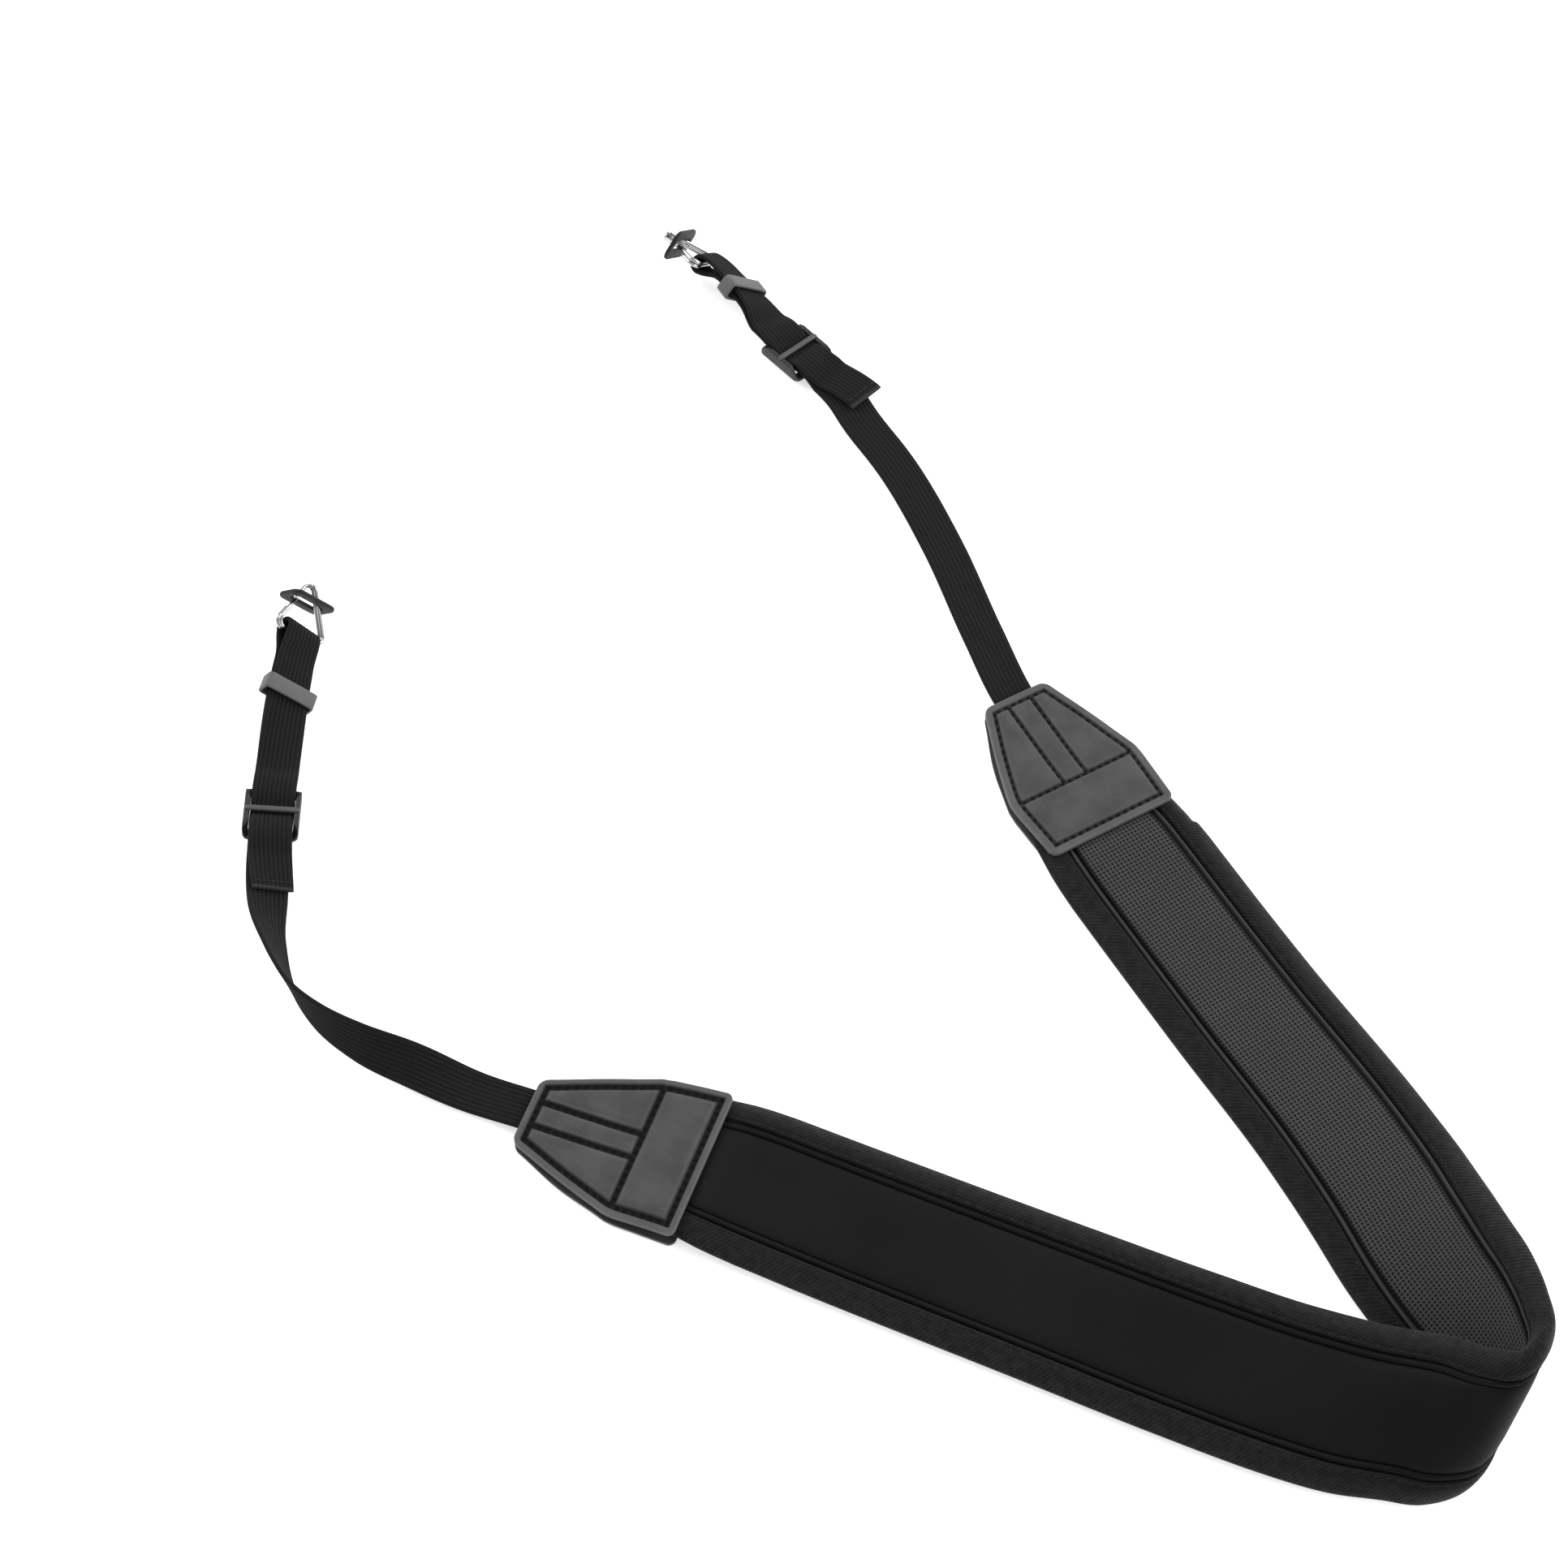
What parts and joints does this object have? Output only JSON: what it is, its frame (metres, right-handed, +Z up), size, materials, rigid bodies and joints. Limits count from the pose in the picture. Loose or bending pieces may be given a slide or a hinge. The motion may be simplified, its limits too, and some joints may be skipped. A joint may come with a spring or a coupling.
{
  "type": "camera neck strap",
  "caption": "Padded neck strap laid in a loop: mesh-lined pad with bound edges, leather tabs, adjustable tapes with slides, keepers, split rings and guards.",
  "frame": {"origin": "centre of the bounding box's base, on the surface that the strap lies on", "axes": "+X along the laid loop from the rings to the bend at the back of the neck, +Z up"},
  "size_m": [0.3932, 0.2422, 0.0376],
  "materials": {
    "neoprene": "smooth jersey over foam",
    "air_mesh": "open spacer mesh",
    "binding_tape": "knitted binding",
    "tab_leather": "grained, matt",
    "webbing_tape": "woven, ribbed",
    "slide_plastic": "moulded",
    "keeper_plastic": "moulded",
    "ring_steel": "bright plated",
    "guard_plastic": "matt black"
  },
  "bodies": {
    "root": {"pad_core": "neoprene", "mesh_panel": "air_mesh", "binding_upper": "binding_tape", "binding_lower": "binding_tape", "tab_left_front": "tab_leather", "tab_left_back": "tab_leather", "webbing_left": "webbing_tape", "adjuster_left": "slide_plastic", "keeper_left": "keeper_plastic", "ring_left": "ring_steel", "ring_guard_left": "guard_plastic", "tab_right_front": "tab_leather", "tab_right_back": "tab_leather", "webbing_right": "webbing_tape", "adjuster_right": "slide_plastic", "keeper_right": "keeper_plastic", "ring_right": "ring_steel", "ring_guard_right": "guard_plastic"}
  },
  "joints": []
}
